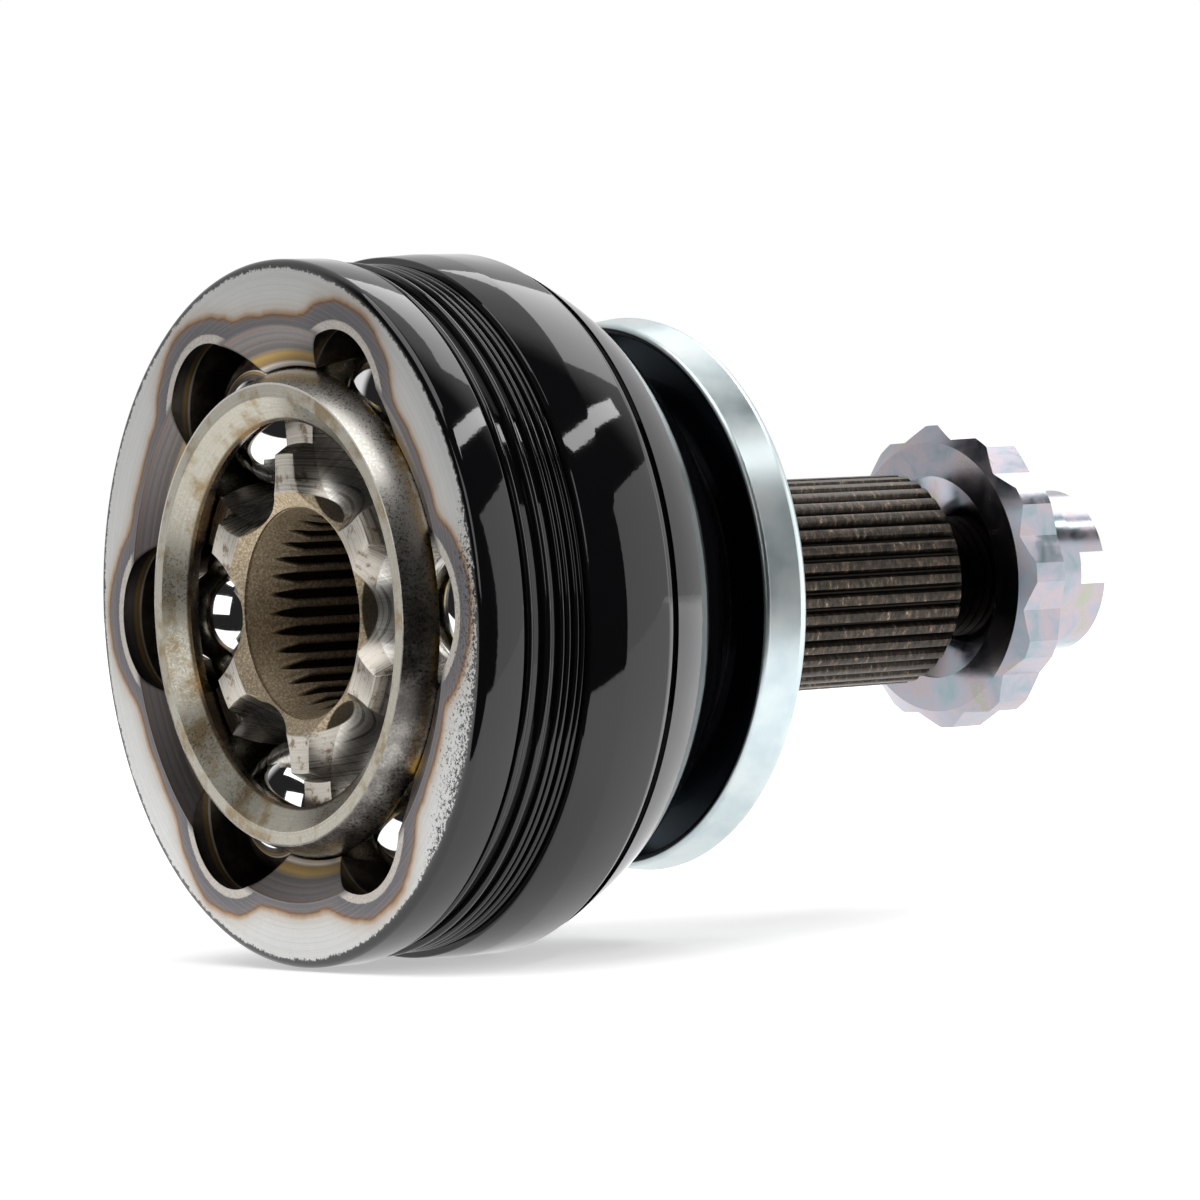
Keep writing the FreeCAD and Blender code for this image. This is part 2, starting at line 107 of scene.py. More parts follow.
# %% Lathe and mill
def turned(name, stations, sides=192, ring=False):
    """A turned piece from (x, radius) stations along the joint axis.

    With ring set, the last station joins the first, and otherwise both ends are closed flat.
    """
    start_fresh()
    x, radius = stations[0]
    bpy.ops.mesh.primitive_circle_add(
        vertices=sides, radius=radius * MM, fill_type="NOTHING" if ring else "NGON",
        location=(x * MM, 0, 0), rotation=(0, math.pi / 2, 0))
    piece = bpy.context.object
    piece.name = name
    bpy.ops.object.mode_set(mode="EDIT")
    bpy.ops.mesh.select_all(action="SELECT")
    for next_x, next_radius in stations[1:] + ([stations[0]] if ring else []):
        if ring:
            bpy.ops.mesh.extrude_edges_move(TRANSFORM_OT_translate={"value": ((next_x - x) * MM, 0, 0)})
        else:
            bpy.ops.mesh.extrude_region_move(TRANSFORM_OT_translate={"value": ((next_x - x) * MM, 0, 0)})
        grow = next_radius / radius
        bpy.ops.transform.resize(value=(1, grow, grow), center_override=(next_x * MM, 0, 0))
        x, radius = next_x, next_radius
    return settle(piece)


def carve(piece, tool, operation="DIFFERENCE"):
    """Cut, join or intersect a piece with a tool piece, and throw the tool away."""
    take(piece)
    cut = piece.modifiers.new("carve", "BOOLEAN")
    cut.operation = operation
    cut.solver = "EXACT"
    cut.object = tool
    bpy.ops.object.modifier_apply(modifier=cut.name)
    bpy.data.objects.remove(tool, do_unlink=True)


def arc_stations(centre_x, centre_r, radius, start, end, count):
    """Stations along an arc of the profile, with angles in degrees from +X toward the outside."""
    found = []
    for i in range(count + 1):
        turn = math.radians(start + (end - start) * i / count)
        found.append((centre_x + radius * math.cos(turn), centre_r + radius * math.sin(turn)))
    return found


# %% [markdown]
# ## The bell
# The bell is turned from a forging.  From the mouth it has a plain band for the boot clamp, a groove with
# raised rings that grip the rubber, two single and two split ones, a back band with a faint ridge, a narrow
# relief and a domed back.  The tracks need a certain room, and the bell's radius follows from that.

# %% Sizes of the bell
BALL_RADIUS = 9.525
BALL_PITCH = 28.8
TRACK_OFFSET = 4.0
TRACK_RADIUS = math.hypot(BALL_PITCH, TRACK_OFFSET)
BALL_ROOM = 0.12
BELL_WALL = 4.5
BELL_RADIUS = TRACK_RADIUS + BALL_RADIUS + BALL_ROOM + BELL_WALL
MOUTH = -12.9
MOUTH_FACE_WIDTH = 9
EDGE_ROUND = 0.9
GROOVE_START = -6.9
GROOVE_FLOOR = BELL_RADIUS - 1.6
RINGS = ((-5.6, 1.2), (-2.95, 1.2), (-0.9, 0.8), (0.0, 0.8), (1.2, 0.8), (2.05, 0.8))
BAND_START = 2.6
RIDGE = (7.5, BELL_RADIUS + 0.35)
BAND_END = 13.7
RELIEF = 15.0
RELIEF_RADIUS = RIDGE[1] - 0.91
DOME_START = 15.7
DOME_RADIUS = math.hypot(DOME_START + TRACK_OFFSET, RELIEF_RADIUS)
SHOULDER_RADIUS = 26.5
SHOULDER_START = math.sqrt(DOME_RADIUS ** 2 - SHOULDER_RADIUS ** 2) - TRACK_OFFSET
ABUTMENT = SHOULDER_START + 7.2
SPLINE_START = ABUTMENT + 3.5
JOURNAL_RADIUS = 14.6
JOURNAL_CHAMFER = 0.4
STUB_CORE = 12.6
print("bell radius", round(BELL_RADIUS, 2), "mm, dome radius", round(DOME_RADIUS, 2), "mm")

# %% [markdown]
# One list of stations describes the whole outside.  The raised rings are short arcs in it, with steep
# flanks, and each edge gets a small round or chamfer so that it catches the light.

# %% The bell's outside
CORNER_ROUND = 0.25
RING_RISE = 0.35
RING_SLIMNESS = 0.62
RING_FLANK = 0.45
RING_CROWN = 0.36
BAND_ROUND = 0.3
RIDGE_EASE = 0.3
RELIEF_DEPTH = 0.5
DOME_STEPS = 14
BELL_SIDES = 256

outside = [(MOUTH, BELL_RADIUS - MOUTH_FACE_WIDTH)]
outside += arc_stations(MOUTH + EDGE_ROUND, BELL_RADIUS - EDGE_ROUND, EDGE_ROUND, 180, 90, 5)
outside += arc_stations(GROOVE_START - CORNER_ROUND, BELL_RADIUS - CORNER_ROUND, CORNER_ROUND, 90, 0, 3)
outside += arc_stations(GROOVE_START + CORNER_ROUND, GROOVE_FLOOR + CORNER_ROUND, CORNER_ROUND, 180, 270, 2)
for middle, width in RINGS:
    height = RING_SLIMNESS * width + RING_RISE
    foot = 0.5 * width
    flank = 0.44 * width
    crown = RING_CROWN * width
    flank_radius = GROOVE_FLOOR + RING_FLANK * height
    outside += [(middle - foot, GROOVE_FLOOR), (middle - flank, flank_radius)]
    outside += arc_stations(middle, GROOVE_FLOOR + height - crown, crown, 160, 20, 8)
    outside += [(middle + flank, flank_radius), (middle + foot, GROOVE_FLOOR)]
outside += [(BAND_START - 0.05, GROOVE_FLOOR)]
outside += arc_stations(BAND_START + BAND_ROUND, BELL_RADIUS - CORNER_ROUND, BAND_ROUND, 180, 95, 3)
outside += [(RIDGE[0] - RIDGE_EASE, RIDGE[1] - 0.03), RIDGE, (RIDGE[0] + RIDGE_EASE, RIDGE[1])]
outside += [(BAND_END - 0.15, RIDGE[1]), (BAND_END + 0.15, RIDGE[1] - 0.1)]
outside += [(RELIEF, RELIEF_RADIUS), (RELIEF + 0.05, RELIEF_RADIUS - RELIEF_DEPTH)]
outside += [(DOME_START, RELIEF_RADIUS - RELIEF_DEPTH)]
dome_first = math.degrees(math.atan2(RELIEF_RADIUS, DOME_START + TRACK_OFFSET))
dome_last = math.degrees(math.atan2(SHOULDER_RADIUS, SHOULDER_START + TRACK_OFFSET))
outside += arc_stations(-TRACK_OFFSET, 0, DOME_RADIUS, dome_first, dome_last, DOME_STEPS)
outside += [(ABUTMENT - 1, SHOULDER_RADIUS), (ABUTMENT, SHOULDER_RADIUS - 1), (ABUTMENT, JOURNAL_RADIUS)]
outside += [(SPLINE_START - JOURNAL_CHAMFER, JOURNAL_RADIUS)]
outside += [(SPLINE_START, JOURNAL_RADIUS - JOURNAL_CHAMFER), (SPLINE_START, STUB_CORE)]
bell = turned("bell_forging", outside, sides=BELL_SIDES)
print("bell outside:", len(outside), "stations,", len(bell.data.polygons), "faces")

# %% [markdown]
# The cavity is a sphere about the joint's centre that guides the cage, with a wide chamfer at the mouth.  It
# is turned too, so its tool comes from the same lathe and is taken away from the bell.

# %% The bell's cavity
GUIDE_RADIUS = 31.75
MOUTH_CHAMFER = 35.2
GUIDE_EDGE = -9.8
CAVITY_FLOOR = 27.0

guide_edge_radius = math.sqrt(GUIDE_RADIUS ** 2 - GUIDE_EDGE ** 2)
slope = (guide_edge_radius - MOUTH_CHAMFER) / (GUIDE_EDGE - MOUTH)
cavity_first = math.degrees(math.atan2(guide_edge_radius, GUIDE_EDGE))
cavity_last = math.degrees(math.acos(CAVITY_FLOOR / GUIDE_RADIUS))
cavity = [(MOUTH - 1, MOUTH_CHAMFER - slope)]
cavity += arc_stations(0, 0, GUIDE_RADIUS, cavity_first, cavity_last, 40)
carve(bell, turned("cavity_tool", cavity, sides=BELL_SIDES))
print("guide sphere meets the chamfer at radius", round(guide_edge_radius, 2), "mm")

# %% [markdown]
# Six tracks are milled in the cavity's wall.  Each is a round groove along an arc, so its cutter is a circle
# swept with the spin operator about the track's own centre, which lies on the joint axis a little before the
# joint's centre.  A ball-shaped end mill leaves the rear end round.  The six cutters are joined into one tool
# and cut the bell in one go.

# %% Track cutters
TRACK_FRONT = -40
TRACK_REAR = 34
CUTTER_SIDES = 96


def track_tool(centre_x, first, last, steps):
    """Cutter for one ball track on the +Y side: a circle spun about a centre on the joint axis."""
    start_fresh()
    bpy.ops.mesh.primitive_circle_add(
        vertices=CUTTER_SIDES, radius=(BALL_RADIUS + BALL_ROOM) * MM, fill_type="NGON",
        location=(centre_x * MM, TRACK_RADIUS * MM, 0), rotation=(0, math.pi / 2, 0))
    tool = bpy.context.object
    bpy.ops.object.transform_apply(location=True, rotation=True, scale=True)
    bpy.ops.object.mode_set(mode="EDIT")
    bpy.ops.mesh.select_all(action="SELECT")
    centre = (centre_x * MM, 0, 0)
    bpy.ops.transform.rotate(value=math.radians(first), orient_axis="Z", center_override=centre)
    bpy.ops.mesh.spin(steps=steps, angle=math.radians(last - first), center=centre, axis=(0, 0, 1))
    bpy.ops.mesh.select_all(action="SELECT")
    bpy.ops.mesh.normals_make_consistent(inside=False)
    bpy.ops.object.mode_set(mode="OBJECT")
    return tool


def turned_copy(piece, angle):
    """Copy of a piece with its own mesh, turned about the joint axis by an angle from +Y toward +Z."""
    copy = piece.copy()
    copy.data = piece.data.copy()
    bpy.context.collection.objects.link(copy)
    take(copy)
    copy.rotation_euler = (math.radians(angle), 0, 0)
    bpy.ops.object.transform_apply(location=True, rotation=True, scale=True)
    return copy


def end_mill():
    """Ball that rounds the rear end of a track."""
    rear = math.radians(TRACK_REAR)
    start_fresh()
    bpy.ops.mesh.primitive_uv_sphere_add(
        segments=CUTTER_SIDES, ring_count=CUTTER_SIDES // 2, radius=(BALL_RADIUS + BALL_ROOM) * MM,
        location=((TRACK_RADIUS * math.sin(rear) - TRACK_OFFSET) * MM, TRACK_RADIUS * math.cos(rear) * MM, 0))
    ball = bpy.context.object
    bpy.ops.object.transform_apply(location=True, rotation=True, scale=True)
    return ball


def six_around(piece):
    """Six of a piece around the joint axis, joined into one, which take the first one's place."""
    around = [turned_copy(piece, 60 * i) for i in range(1, 6)]
    take(piece)
    for copy in around:
        copy.select_set(True)
    bpy.ops.object.join()
    return piece


# %% Mill the bell's tracks
cutter = track_tool(-TRACK_OFFSET, TRACK_FRONT, TRACK_REAR, 40)
carve(cutter, end_mill(), "UNION")
carve(bell, six_around(cutter))
settle(bell, 25)
print("bell:", len(bell.data.polygons), "faces after six tracks")

# %% [markdown]
# ## The stub
# Behind the bell the forging runs out into a stub.  Its splined length is rolled: 38 teeth with wide flat
# tips.  A plain bar is pulled out first, with ten points on its outline for every tooth.  Then the points of
# the tips and flanks are picked by their angle and pushed outward, at each station by its own share of the
# height, which gives the teeth their chamfered ends.

# %% Splined bars
def toothed(name, teeth, root, tip, pattern, spans):
    """A bar with teeth: the points of its outline follow a pattern of heights from root (0) to tip (1).

    spans is a list of (x, share of the tooth height) stations, so an end can be chamfered.
    """
    start_fresh()
    count = teeth * len(pattern)
    bpy.ops.mesh.primitive_circle_add(
        vertices=count, radius=root * MM, fill_type="NGON",
        location=(spans[0][0] * MM, 0, 0), rotation=(0, math.pi / 2, 0))
    bar = bpy.context.object
    bar.name = name
    bpy.ops.object.transform_apply(location=True, rotation=True, scale=True)
    bpy.ops.object.mode_set(mode="EDIT")
    bpy.ops.mesh.select_all(action="SELECT")
    for (x, _), (next_x, _) in zip(spans, spans[1:]):
        bpy.ops.mesh.extrude_region_move(TRANSFORM_OT_translate={"value": ((next_x - x) * MM, 0, 0)})
    bpy.ops.object.mode_set(mode="OBJECT")
    pitch = 2 * math.pi / teeth
    for station, share in spans:
        for level in sorted(set(pattern)):
            if level == 0:
                continue
            for vertex in bar.data.vertices:
                turn = (math.atan2(vertex.co.z, vertex.co.y) / pitch) % 1.0
                slot = int(round(turn * len(pattern))) % len(pattern)
                vertex.select = abs(vertex.co.x / MM - station) < 0.01 and pattern[slot] == level
            for edge in bar.data.edges:
                edge.select = False
            for face in bar.data.polygons:
                face.select = False
            bpy.ops.object.mode_set(mode="EDIT")
            grow = (root + (tip - root) * level * share) / root
            bpy.ops.transform.resize(value=(1, grow, grow), center_override=(station * MM, 0, 0))
            bpy.ops.object.mode_set(mode="OBJECT")
    return settle(bar, 25)


# %% The stub's spline
SPLINE_END = SPLINE_START + 38.1
STUB_TEETH = 38
STUB_ROOT = 12.85
STUB_TIP = 13.8
STUB_PATTERN = (1, 1, 1, 0.93, 0.45, 0, 0, 0.45, 0.93, 1)
stub = toothed("stub_spline", STUB_TEETH, STUB_ROOT, STUB_TIP, STUB_PATTERN, [
    (SPLINE_START - 0.2, 0.0), (SPLINE_START + 0.6, 1.0), (SPLINE_END - 0.8, 1.0), (SPLINE_END, 0.15)])
print("stub spline:", len(stub.data.polygons), "faces")

# %% [markdown]
# The threaded end is M16 x 1.5.  Only a few turns show beside the nut, so the thread is turned as separate
# rings with the right pitch and depth, which look like a helix at this size and leave a closed piece.  The
# end has the centre hole that the lathe held it by.

# %% The threaded end
NECK_END = SPLINE_END + 2.2
THREAD_END = NECK_END + 18.7
THREAD_PITCH = 1.5
THREAD_RADIUS = 8.0
CORE_RADIUS = 7.1
NECK_RADIUS = 6.9
THREAD_RINGS = 12
END_CHAMFER = 0.5
CENTRE_HOLE_RADIUS = 2.2
CENTRE_HOLE_DEPTH = 4.5
RING_SHAPE = ((0.0, CORE_RADIUS), (0.2, CORE_RADIUS), (0.65, THREAD_RADIUS), (0.9, THREAD_RADIUS))

thread_stations = [(SPLINE_END - 0.3, NECK_RADIUS), (NECK_END, NECK_RADIUS)]
for i in range(THREAD_RINGS):
    start = NECK_END + 0.2 + i * THREAD_PITCH
    thread_stations += [(start + step, radius) for step, radius in RING_SHAPE]
thread_stations += [(start + 1.3, CORE_RADIUS), (THREAD_END - END_CHAMFER, CORE_RADIUS)]
thread_stations += [(THREAD_END, CORE_RADIUS - END_CHAMFER)]
thread = turned("stub_thread", thread_stations, sides=96)
start_fresh()
bpy.ops.mesh.primitive_cone_add(
    vertices=48, radius1=0.01 * MM, radius2=CENTRE_HOLE_RADIUS * MM, depth=CENTRE_HOLE_DEPTH * MM,
    location=((THREAD_END - CENTRE_HOLE_DEPTH / 2 + 0.01) * MM, 0, 0), rotation=(0, math.pi / 2, 0))
carve(thread, bpy.context.object)
settle(thread, 25)
print("threaded end:", len(thread.data.polygons), "faces")

# %% [markdown]
# ## Cage, inner race and nut
# Cage and race are turned blanks that are then milled: windows in the cage, tracks and a splined bore in the
# race.  The nut starts as a bar with twelve points.  Their sharp edges are broken with a narrow bevel, since
# those bright lines are what the eye reads first on machined steel.

# %% Broken edges
def break_edges(piece, width, angle=30, smooth=25):
    """Bevel the sharp edges of a piece by a width in millimetres, and keep its faces flat between them."""
    take(piece)
    bevel = piece.modifiers.new("broken_edges", "BEVEL")
    bevel.width = width * MM
    bevel.segments = 2
    bevel.limit_method = "ANGLE"
    bevel.angle_limit = math.radians(angle)
    bevel.use_clamp_overlap = True
    bpy.ops.object.modifier_apply(modifier=bevel.name)
    return settle(piece, smooth)


# %% [markdown]
# The cage is a ring between two spheres about the joint's centre.  Its front rim has a flat ring and a cone
# inside it.

# %% Cage ring
CAGE_RADIUS = 31.5
CAGE_BORE = 26.2
CAGE_FRONT = -13.9
CAGE_REAR = 13.0
CAGE_LIP = 23.57
RIM_STEP = 26.47
RIM_CONE_DEPTH = 2.5


def sphere_angle(radius, x):
    """Angle from +X of the point of a sphere's outline at one station along the axis."""
    return math.degrees(math.acos(x / radius))


cage_profile = arc_stations(0, 0, CAGE_RADIUS, sphere_angle(CAGE_RADIUS, CAGE_FRONT),
                            sphere_angle(CAGE_RADIUS, CAGE_REAR), 24)
lip_x = math.sqrt(CAGE_BORE ** 2 - CAGE_LIP ** 2)
cage_profile += [(CAGE_REAR, CAGE_LIP)]
cage_profile += arc_stations(0, 0, CAGE_BORE, sphere_angle(CAGE_BORE, lip_x),
                             sphere_angle(CAGE_BORE, -lip_x), 24)
cage_profile += [(CAGE_FRONT + RIM_CONE_DEPTH, CAGE_LIP), (CAGE_FRONT, RIM_STEP)]
cage = turned("cage_ring", cage_profile, ring=True)
print("cage ring:", round(CAGE_REAR - CAGE_FRONT, 1), "mm long,", len(cage.data.polygons), "faces")

# %% [markdown]
# Each window holds one ball, with room along the window for the ball's drift when the joint bends.  Its
# cutter is a block, and only the four edges that run along the radius are rounded, as a milling cutter leaves
# them.

# %% Cage windows
WINDOW_WIDE = 19.71
WINDOW_LONG = 21.55
WINDOW_CORNER = 3.0
CAGE_EDGE = 0.22


def window_tool():
    """Cutter for one window on the +Y side: a block whose four edges along the radius are rounded."""
    start_fresh()
    bpy.ops.mesh.primitive_cube_add(size=1, location=(0, CAGE_RADIUS * MM, 0))
    block = bpy.context.object
    block.scale = (WINDOW_WIDE * MM, CAGE_BORE * MM, WINDOW_LONG * MM)
    bpy.ops.object.transform_apply(location=True, rotation=True, scale=True)
    for edge in block.data.edges:
        first, last = (block.data.vertices[i].co for i in edge.vertices)
        edge.select = abs(first.y - last.y) > MM
    for vertex in block.data.vertices:
        vertex.select = False
    for face in block.data.polygons:
        face.select = False
    bpy.ops.object.mode_set(mode="EDIT")
    bpy.ops.mesh.select_mode(type="EDGE")
    bpy.ops.mesh.bevel(offset=WINDOW_CORNER * MM, segments=8, affect="EDGES")
    bpy.ops.mesh.select_all(action="SELECT")
    bpy.ops.mesh.select_mode(type="VERT")
    bpy.ops.object.mode_set(mode="OBJECT")
    return block


carve(cage, six_around(window_tool()))
break_edges(cage, CAGE_EDGE)
print("cage:", len(cage.data.polygons), "faces")

# %% [markdown]
# The inner race is a ball with flats, a raised hub and six tracks that mirror those of the bell.  Its blank
# is milled and its edges are broken before the fine teeth of the bore are made, which the bevel would spoil.

# %% Inner race and its tracks
RACE_RADIUS = 25.95
LAND_FRONT = -9.0
RACE_REAR = 10.5
HUB_FRONT = -11.4
HUB_FACE = 19.55
HUB_FOOT = 20.8
BORE_MOUTH = 14.9
BORE_THROAT = 13.08
LEAD_IN_START = HUB_FRONT + 1.35
LEAD_IN_END = LEAD_IN_START + 6.6
INNER_TRACK_FRONT = -51
INNER_TRACK_REAR = 48
RACE_EDGE = 0.25

race_profile = [(HUB_FRONT, HUB_FACE), (LAND_FRONT, HUB_FOOT)]
race_profile += arc_stations(0, 0, RACE_RADIUS, sphere_angle(RACE_RADIUS, LAND_FRONT),
                             sphere_angle(RACE_RADIUS, RACE_REAR), 22)
race = turned("inner_race_blank", race_profile)
carve(race, turned("bore_mouth", [
    (HUB_FRONT - 1, BORE_MOUTH + 1.35), (LEAD_IN_START, BORE_THROAT), (RACE_REAR + 1, BORE_THROAT)]))
carve(race, six_around(track_tool(TRACK_OFFSET, INNER_TRACK_FRONT, INNER_TRACK_REAR, 48)))
break_edges(race, RACE_EDGE)
print("race with tracks:", len(race.data.polygons), "faces")

# %% [markdown]
# The splined bore is cut in a sleeve of its own that fills the throat of the race.  A long lead-in cone opens
# it toward the mouth, and the teeth come from a toothed bar that is taken away.

# %% Splined bore of the race
SHAFT_TEETH = 32
SHAFT_ROOT = 11.5
SHAFT_TIP = 12.35
SHAFT_PATTERN = (1, 0.8, 0.28, 0, 0, 0, 0.28, 0.8)
SLEEVE_RADIUS = BORE_THROAT + 0.4
SLEEVE_FRONT = LEAD_IN_START + 0.45
SLEEVE_REAR = RACE_REAR - 0.3
LEAD_IN_FOOT = LEAD_IN_START - 1
LEAD_IN_RADIUS = BORE_THROAT + 0.24
REAR_CHAMFER = 1.15

sleeve = turned("race_sleeve", [(SLEEVE_FRONT, SLEEVE_RADIUS), (SLEEVE_REAR, SLEEVE_RADIUS)])
carve(sleeve, turned("lead_in", [
    (LEAD_IN_FOOT, LEAD_IN_RADIUS), (LEAD_IN_END, SHAFT_ROOT), (RACE_REAR - REAR_CHAMFER, SHAFT_ROOT),
    (RACE_REAR, SHAFT_ROOT + REAR_CHAMFER)]))
carve(sleeve, toothed("shaft_splines", SHAFT_TEETH, SHAFT_ROOT, SHAFT_TIP, SHAFT_PATTERN,
                      [(HUB_FRONT - 1, 1.0), (RACE_REAR + 1, 1.0)]))
settle(sleeve, 25)
print("splined bore:", len(sleeve.data.polygons), "faces")

# %% [markdown]
# The axle nut has twelve points: two hexagons of the same size set thirty degrees apart, so its outline has
# twelve corners and twelve notches.  A turned envelope chamfers both ends, and behind the points is a thin
# collar with a lip.

# %% Axle nut
NUT_FRONT = SPLINE_END + 5.5
NUT_HEX_END = NUT_FRONT + 6.9
NUT_TIP = 20.1
NUT_BORE = 8.15
HALF_WRENCH = 18.0
COLLAR_RADIUS = 11.1
COLLAR_BASE_END = NUT_HEX_END + 9.2
COLLAR_END = COLLAR_BASE_END + 4.9
LIP_RADIUS = COLLAR_RADIUS - 0.35
LIP_BORE = LIP_RADIUS - 1.9
FRONT_RADIUS = 17.85
FRONT_CHAMFER = 1.3
BACK_CHAMFER = 0.9
RECESS_RADIUS = 13.4
RECESS_STRAIGHT = 1.2
RECESS_DEPTH = 4.6
COLLAR_SIDES = 96

notch_radius = HALF_WRENCH / math.cos(math.radians(15))
corner_radius = HALF_WRENCH / math.cos(math.radians(30))
nut = toothed("nut_twelve_point", 12, notch_radius, corner_radius, (1, 0),
              [(NUT_FRONT, 1.0), (NUT_HEX_END, 1.0)])
carve(nut, turned("nut_chamfers", [
    (NUT_FRONT, FRONT_RADIUS), (NUT_FRONT + FRONT_CHAMFER, NUT_TIP), (NUT_HEX_END - BACK_CHAMFER, NUT_TIP),
    (NUT_HEX_END, NUT_TIP - 2 * BACK_CHAMFER)]), "INTERSECT")
carve(nut, turned("nut_collar", [
    (NUT_FRONT + 2, COLLAR_RADIUS), (COLLAR_BASE_END, COLLAR_RADIUS), (COLLAR_BASE_END, LIP_RADIUS),
    (COLLAR_END, LIP_RADIUS)], sides=COLLAR_SIDES), "UNION")
carve(nut, turned("nut_hollow", [
    (NUT_FRONT - 1, RECESS_RADIUS), (NUT_FRONT + RECESS_STRAIGHT, RECESS_RADIUS),
    (NUT_FRONT + RECESS_DEPTH, NUT_BORE), (COLLAR_BASE_END, NUT_BORE), (COLLAR_BASE_END + 1, LIP_BORE),
    (COLLAR_END + 1, LIP_BORE)], sides=COLLAR_SIDES))
print("nut before its slots:", len(nut.data.polygons), "faces")

# %% [markdown]
# Three slots are cut into the end of the collar.  The nut's chamfers are shallow, so its bevel has to start
# at a smaller angle than on the other pieces.

# %% Slots of the nut's collar
SLOT_WIDTH = 4.2
SLOT_DEPTH = 4.1
SLOT_TURN = -1.0
SLOT_COUNT = 3
NUT_EDGE = 0.28

start_fresh()
bpy.ops.mesh.primitive_cube_add(size=1, location=(COLLAR_END * MM, -COLLAR_RADIUS * MM, 0))
slot_tool = bpy.context.object
slot_tool.scale = (2 * SLOT_DEPTH * MM, 2 * COLLAR_RADIUS * MM, SLOT_WIDTH * MM)
bpy.ops.object.transform_apply(location=True, rotation=True, scale=True)
slot_tools = [turned_copy(slot_tool, SLOT_TURN + 360 / SLOT_COUNT * i) for i in range(SLOT_COUNT)]
take(slot_tools[0])
for copy in slot_tools[1:]:
    copy.select_set(True)
bpy.ops.object.join()
bpy.data.objects.remove(slot_tool, do_unlink=True)
carve(nut, slot_tools[0])
break_edges(nut, NUT_EDGE, angle=22, smooth=12)
print("nut:", len(nut.data.polygons), "faces")

# %% [markdown]
# Each new piece takes the place of one node of the imported model and rides the same body.  The balls and the
# dust shield are plain turned shapes whose packed form is already right.

# %% Name what each piece replaces and rides
for piece, node, body, slot in (
        (bell, "outer_race", "bell", "painted_forging"),
        (stub, "outer_race", "bell", "painted_forging"),
        (thread, "outer_race", "bell", "painted_forging"),
        (cage, "cage", "cage", "ground_steel"),
        (race, "inner_race", "inner_race", "machined_steel"),
        (sleeve, "inner_race", "inner_race", "machined_steel"),
        (nut, "axle_nut", "axle_nut", "zinc_nut")):
    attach(piece, body)
    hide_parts(node)
    print(piece.name, "replaces", node, "and rides", body)

# %% [markdown]
# # Finishes
# A finish is built from nodes that read the piece's own coordinates in millimetres.  Turned surfaces need the
# distance along the axis and the radius, so the helper below works those out once for each material and
# offers short names for the nodes that all the finishes share.

